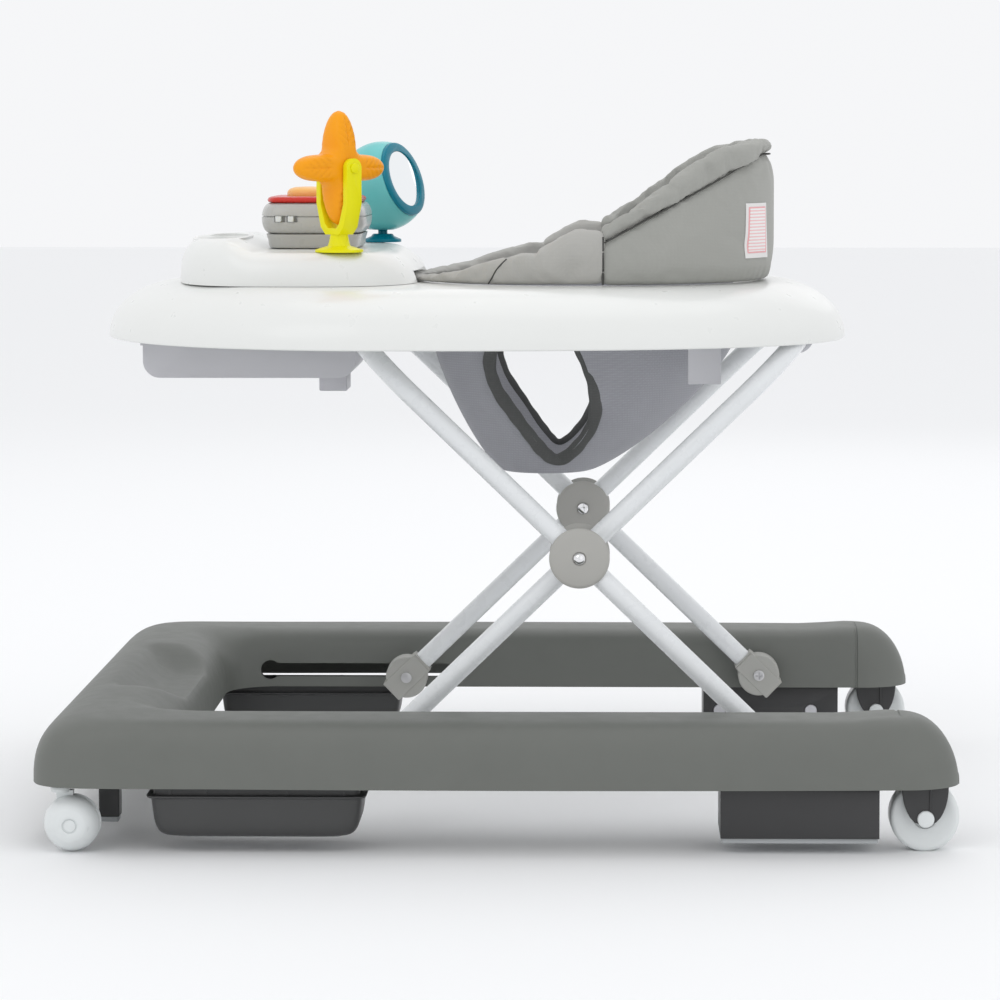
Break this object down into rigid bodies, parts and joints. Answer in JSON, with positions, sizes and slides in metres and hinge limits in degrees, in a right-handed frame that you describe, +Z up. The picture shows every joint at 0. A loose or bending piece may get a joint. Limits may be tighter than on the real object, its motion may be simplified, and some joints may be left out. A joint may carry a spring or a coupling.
{
  "type": "baby walker",
  "caption": "Baby walker with a U-shaped base on wheels, crossed folding legs, and a tray with a padded fabric seat and toys",
  "frame": {"origin": "on the floor, under the middle of the bounding box", "axes": "+Z up, +X to the rear (the seat back), -Y to the side of the star toy; the child faces -X"},
  "size_m": [0.708, 0.6, 0.5621],
  "materials": {
    "base_plastic": "fine satin texture",
    "stopper_plastic": "satin",
    "stopper_rubber": "matt",
    "plug_plastic": "matt",
    "wheel_plastic": "gloss",
    "axle_cap": "gloss",
    "tube_paint": "gloss white",
    "fitting_plastic": "satin",
    "screw_steel": "plated",
    "rivet_chrome": "polished",
    "tray_plastic": "satin gloss white",
    "channel_plastic": "satin",
    "seat_fabric": "plain weave",
    "sling_fabric": "mesh",
    "binding_fabric": "woven tape",
    "label_fabric": "satin tape",
    "toy_grey": "satin",
    "toy_red": "gloss",
    "toy_peach": "gloss",
    "toy_white": "gloss",
    "board": "solder mask",
    "speaker": "matt",
    "battery": "printed sleeve",
    "toy_yellow": "gloss",
    "toy_orange": "satin",
    "ball_teal": "satin",
    "ring_teal": "gloss",
    "mirror": "polished"
  },
  "bodies": {
    "base": {"base_shell": "base_plastic", "slot_tracks": "screw_steel", "leg_spacers": "stopper_plastic", "rear_pivot_screws": "screw_steel", "front_stop_tubs": "stopper_plastic", "front_stop_pads": "stopper_rubber", "rear_stop_blocks": "stopper_plastic", "rear_stop_pads": "stopper_rubber", "rear_stop_plugs": "plug_plastic", "front_feet": "base_plastic", "front_foot_tips": "stopper_rubber", "rear_wheel_brackets": "stopper_plastic", "rear_wheel_axles": "axle_cap", "caster_sockets": "base_plastic"},
    "wheel_left": {"rear_wheel_left": "wheel_plastic"},
    "wheel_right": {"rear_wheel_right": "wheel_plastic"},
    "fork_left": {"caster_fork_left": "wheel_plastic"},
    "fork_right": {"caster_fork_right": "wheel_plastic"},
    "caster_left": {"caster_wheel_left": "wheel_plastic"},
    "caster_right": {"caster_wheel_right": "wheel_plastic"},
    "leg_a": {"leg_a_tube": "tube_paint", "leg_a_fittings": "fitting_plastic", "outer_cover_discs": "fitting_plastic", "centre_rivets": "rivet_chrome"},
    "leg_b": {"leg_b_tube": "tube_paint", "leg_b_fittings": "fitting_plastic", "slider_pins": "screw_steel", "slider_spacers": "fitting_plastic", "inner_cover_discs": "fitting_plastic"},
    "tray": {"tray_shell": "tray_plastic", "channel_housing": "channel_plastic", "rear_bar_clips": "tray_plastic", "tray_screws": "screw_steel", "rear_rest_tab": "tray_plastic", "seat_back_pad": "seat_fabric", "seat_front_band": "seat_fabric", "seat_sling": "sling_fabric", "leg_hole_binding": "binding_fabric", "seat_label": "label_fabric", "console_tray": "tray_plastic", "toy_lower_case": "toy_grey", "toy_upper_case": "toy_grey", "toy_top_plate": "toy_red", "toy_circuit_board": "board", "toy_speaker": "speaker", "toy_batteries": "battery", "star_post": "toy_yellow", "star_pin": "toy_yellow", "ball_stand": "ring_teal"},
    "latch": {"height_latch": "channel_plastic"},
    "button": {"toy_button": "toy_peach"},
    "switch_front": {"toy_switch_front": "toy_white"},
    "switch_rear": {"toy_switch_rear": "toy_white"},
    "star": {"star_spinner": "toy_orange"},
    "ball": {"ball_body": "ball_teal", "ball_rings": "ring_teal", "ball_mirrors": "mirror"}
  },
  "joints": [
    {"name": "fold", "type": "hinge", "parent": "base", "child": "leg_a", "pos_m": [0.22, 0, 0.066], "axis": [0, -1, 0], "range_deg": [0, 36]},
    {"name": "leg_cross", "type": "hinge", "parent": "leg_a", "child": "leg_b", "pos_m": [0.06462, 0, 0.21605], "axis": [0, -1, 0], "range_deg": [-72, 0]},
    {"name": "tray_level", "type": "hinge", "parent": "leg_b", "child": "tray", "pos_m": [0.23726, 0, 0.38276], "axis": [0, -1, 0], "range_deg": [0, 36]},
    {"name": "wheel_spin_left", "type": "hinge", "parent": "base", "child": "wheel_left", "pos_m": [0.3275, -0.2585, 0.0265], "axis": [0, 1, 0], "continuous": true},
    {"name": "wheel_spin_right", "type": "hinge", "parent": "base", "child": "wheel_right", "pos_m": [0.3275, 0.2585, 0.0265], "axis": [0, 1, 0], "continuous": true},
    {"name": "swivel_left", "type": "hinge", "parent": "base", "child": "fork_left", "pos_m": [-0.329, -0.276, 0.06], "axis": [0, 0, 1], "continuous": true},
    {"name": "swivel_right", "type": "hinge", "parent": "base", "child": "fork_right", "pos_m": [-0.329, 0.276, 0.06], "axis": [0, 0, 1], "continuous": true},
    {"name": "caster_spin_left", "type": "hinge", "parent": "fork_left", "child": "caster_left", "pos_m": [-0.32, -0.276, 0.022], "axis": [0, 1, 0], "continuous": true},
    {"name": "caster_spin_right", "type": "hinge", "parent": "fork_right", "child": "caster_right", "pos_m": [-0.32, 0.276, 0.022], "axis": [0, 1, 0], "continuous": true},
    {"name": "latch_pull", "type": "slide", "parent": "tray", "child": "latch", "axis": [0, 0, -1], "range_m": [0, 0.006], "stiffness_N_per_m": 400, "springref_m": -0.002},
    {"name": "button_press", "type": "slide", "parent": "tray", "child": "button", "axis": [0, 0, -1], "range_m": [0, 0.003], "stiffness_N_per_m": 500, "springref_m": -0.002},
    {"name": "switch_front_slide", "type": "slide", "parent": "tray", "child": "switch_front", "axis": [1, 0, 0], "range_m": [0, 0.003]},
    {"name": "switch_rear_slide", "type": "slide", "parent": "tray", "child": "switch_rear", "axis": [1, 0, 0], "range_m": [0, 0.003]},
    {"name": "star_spin", "type": "hinge", "parent": "tray", "child": "star", "pos_m": [-0.12574, -0.138, 0.51716], "axis": [0.7071, -0.7071, 0], "continuous": true},
    {"name": "ball_spin", "type": "hinge", "parent": "tray", "child": "ball", "pos_m": [-0.10774, 0.127, 0.49866], "axis": [0, 0, 1], "continuous": true}
  ],
  "couplings": [
    {"joint": "leg_cross", "follows": "fold", "ratio": -2},
    {"joint": "tray_level", "follows": "fold", "ratio": 1}
  ]
}
